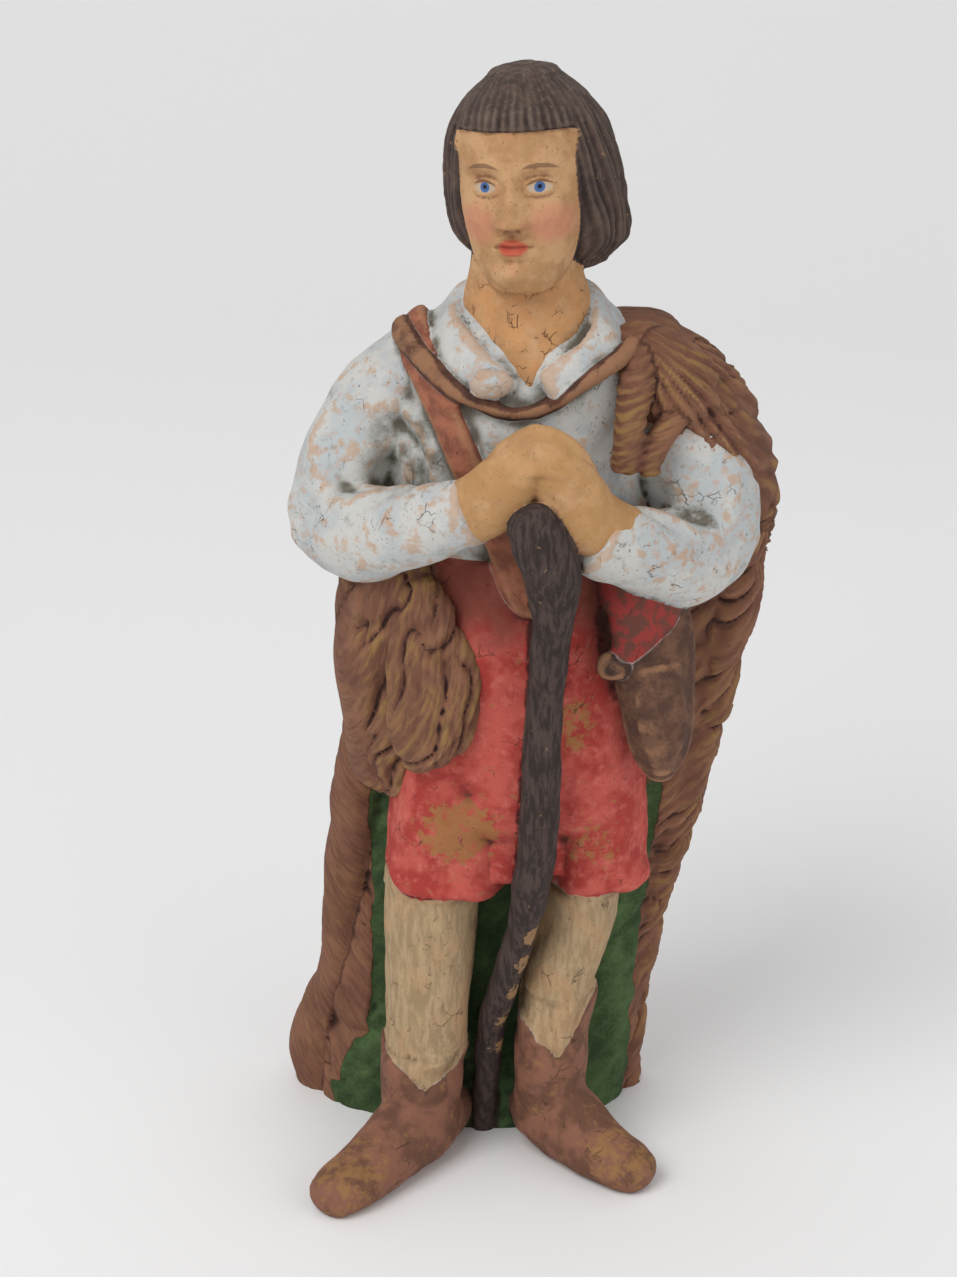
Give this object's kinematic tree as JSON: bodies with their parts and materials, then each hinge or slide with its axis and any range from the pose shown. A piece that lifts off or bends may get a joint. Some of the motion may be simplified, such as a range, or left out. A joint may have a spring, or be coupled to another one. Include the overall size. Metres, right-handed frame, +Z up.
{
  "type": "nativity shepherd figure",
  "caption": "Painted clay crib figure of a young shepherd in a shirt, short breeches and a fleece cloak, leaning both hands on a crook.",
  "frame": {"origin": "middle of the figure's outer box, on the plane its underside stands on", "axes": "+Z up from the underside to the crown, the figure faces -Y, +X is the figure's left"},
  "size_m": [0.0667, 0.0466, 0.1498],
  "materials": {
    "painted_clay": "old matt paint over moulded clay, worn and finely cracked"
  },
  "bodies": {
    "root": {"shepherd_figure": "painted_clay"}
  },
  "joints": []
}
